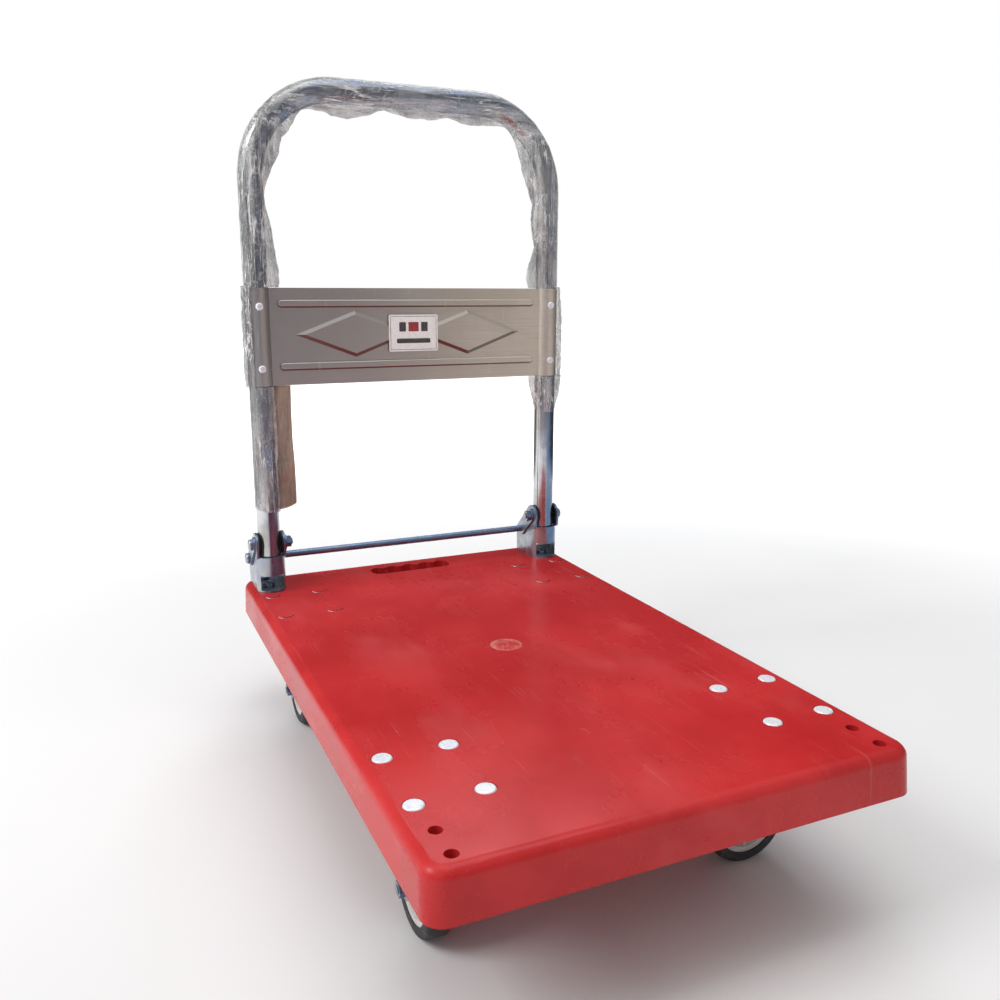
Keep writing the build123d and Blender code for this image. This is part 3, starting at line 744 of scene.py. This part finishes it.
def make_world():
    """White to the camera; for light and reflections bright above and left, dim in front and behind."""
    world = bpy.data.worlds.new("studio")
    bpy.context.scene.world = world
    world.use_nodes = True
    tree = world.node_tree
    tree.nodes.clear()
    place = tree.nodes.new("ShaderNodeTexCoord")
    split = tree.nodes.new("ShaderNodeSeparateXYZ")
    tree.links.new(place.outputs["Generated"], split.inputs["Vector"])

    def level(socket, start, end, low, high):
        node = tree.nodes.new("ShaderNodeMapRange")
        node.interpolation_type = "SMOOTHSTEP"
        tree.links.new(socket, node.inputs["Value"])
        limits = {"From Min": start, "From Max": end, "To Min": low, "To Max": high}
        for key, value in limits.items():
            node.inputs[key].default_value = value
        return node.outputs["Result"]

    def add(a, b):
        node = tree.nodes.new("ShaderNodeMath")
        tree.links.new(a, node.inputs[0])
        tree.links.new(b, node.inputs[1])
        return node.outputs["Value"]

    above = level(split.outputs["Z"], 0.25, 0.85, 0.04, 0.5)
    left = level(split.outputs["X"], 0.2, -0.9, 0.04, 0.42)
    dome = tree.nodes.new("ShaderNodeBackground")
    tree.links.new(add(above, left), dome.inputs["Strength"])
    dome.inputs["Color"].default_value = (1, 0.99, 0.98, 1)
    white = tree.nodes.new("ShaderNodeBackground")
    white.inputs["Color"].default_value = (1, 1, 1, 1)
    rays = tree.nodes.new("ShaderNodeLightPath")
    pick = tree.nodes.new("ShaderNodeMixShader")
    tree.links.new(rays.outputs["Is Camera Ray"], pick.inputs["Fac"])
    tree.links.new(dome.outputs["Background"], pick.inputs[1])
    tree.links.new(white.outputs["Background"], pick.inputs[2])
    output = tree.nodes.new("ShaderNodeOutputWorld")
    tree.links.new(pick.outputs["Shader"], output.inputs["Surface"])


# shade of the cards by their angle round the cart, as a share of a turn
CARD_STOPS = [
    (0.00, (0.05, 0.05, 0.055)),
    (0.17, (0.14, 0.14, 0.14)),
    (0.22, (1.25, 1.22, 1.18)),
    (0.33, (1.15, 1.13, 1.10)),
    (0.37, (0.16, 0.16, 0.17)),
    (0.43, (0.35, 0.36, 0.38)),
    (0.50, (0.30, 0.31, 0.33)),
    (0.545, (0.09, 0.09, 0.10)),
    (0.60, (0.30, 0.27, 0.25)),
    (0.65, (0.62, 0.57, 0.52)),
    (0.74, (0.42, 0.39, 0.36)),
    (0.80, (0.07, 0.07, 0.07)),
    (0.92, (0.05, 0.05, 0.055)),
]


def make_cards():
    """A ring of reflector cards round the cart, which only reflections see: it gives the tubes
    their dark and light stripes and the blue band low on the right."""
    f = Finish("reflector_cards")
    x, y, z = f.axes()
    # angle round the cart, 0 towards the camera, 1/4 to the camera's right
    turned = f.math("SUBTRACT", f.math("ARCTAN2", x, f.math("MULTIPLY", y, -1)), radians(-24.5))
    share = f.math("FRACT", f.math("ADD", f.math("DIVIDE", turned, tau), 1.5))
    ramp = f.add("ShaderNodeValToRGB", {"Fac": share})
    ramp.color_ramp.interpolation = "EASE"
    elements = ramp.color_ramp.elements
    while len(elements) > 1:
        elements.remove(elements[-1])
    elements[0].position = CARD_STOPS[0][0]
    elements[0].color = (*CARD_STOPS[0][1], 1)
    for position, shade in CARD_STOPS[1:]:
        stop = elements.new(position)
        stop.color = (*shade, 1)
    low = f.between(z, 0.0, 0.22, 1, 0)
    near = f.math("MULTIPLY", f.between(share, 0.40, 0.47), f.between(share, 0.58, 0.66, 1, 0))
    glow = f.mix(f.math("MULTIPLY", low, near), ramp.outputs["Color"], (0.10, 0.24, 0.55, 1))
    emission = f.add("ShaderNodeEmission", {"Color": glow, "Strength": 1.0})
    output = f.tree.nodes["Material Output"]
    f.tree.links.new(emission.outputs["Emission"], output.inputs["Surface"])
    rows, columns, radius, height = 2, 96, 1.7, 1.5
    points = [
        Vector((radius * cos(tau * j / columns), radius * sin(tau * j / columns), height * i))
        for i in range(rows)
        for j in range(columns)
    ]
    ring = make_mesh("reflector_cards", points, grid_faces(rows, columns, True), f.material)
    ring.visible_camera = False
    ring.visible_diffuse = False
    ring.visible_shadow = False
    ring.visible_transmission = False


def area_light(name, place, aim, size, power, tint=(1, 1, 1)):
    data = bpy.data.lights.new(name, "AREA")
    data.shape = "RECTANGLE"
    data.size, data.size_y = size
    data.energy = power
    data.color = tint
    lamp = bpy.data.objects.new(name, data)
    bpy.context.scene.collection.objects.link(lamp)
    lamp.location = place
    lamp.rotation_euler = (Vector(aim) - Vector(place)).to_track_quat("-Z", "Y").to_euler()
    lamp.visible_camera = False


def make_camera():
    """The photograph's camera: low over the front left corner, looking down a little."""
    azimuth, elevation, roll = radians(24.49), radians(-12.78), radians(0.23)
    ahead = Vector((sin(azimuth) * cos(elevation), cos(azimuth) * cos(elevation), sin(elevation)))
    across = Vector((cos(azimuth), -sin(azimuth), 0))
    above = across.cross(ahead)
    right = cos(roll) * across + sin(roll) * above
    up = -sin(roll) * across + cos(roll) * above
    data = bpy.data.cameras.new("camera")
    data.sensor_width = 36
    data.lens = 33.83
    camera = bpy.data.objects.new("camera", data)
    bpy.context.scene.collection.objects.link(camera)
    turn = Matrix((right, up, -ahead)).transposed().to_4x4()
    camera.matrix_world = Matrix.Translation((-0.4127, -0.8882, 0.5481)) @ turn
    bpy.context.scene.camera = camera


make_floor()
make_world()
make_cards()
area_light("key", (-2.6, 0.2, 2.4), (0, 0, 0.2), (1.4, 1.4), 44)
area_light("overhead", (0.2, 0.1, 3.2), (0, 0, 0.2), (2.4, 2.4), 31)
area_light("rear_rim", (1.2, 2.6, 2.2), (0, 0, 0.3), (1.0, 1.4), 18, (0.9, 0.95, 1))
make_camera()
bpy.context.scene.view_settings.view_transform = "Standard"
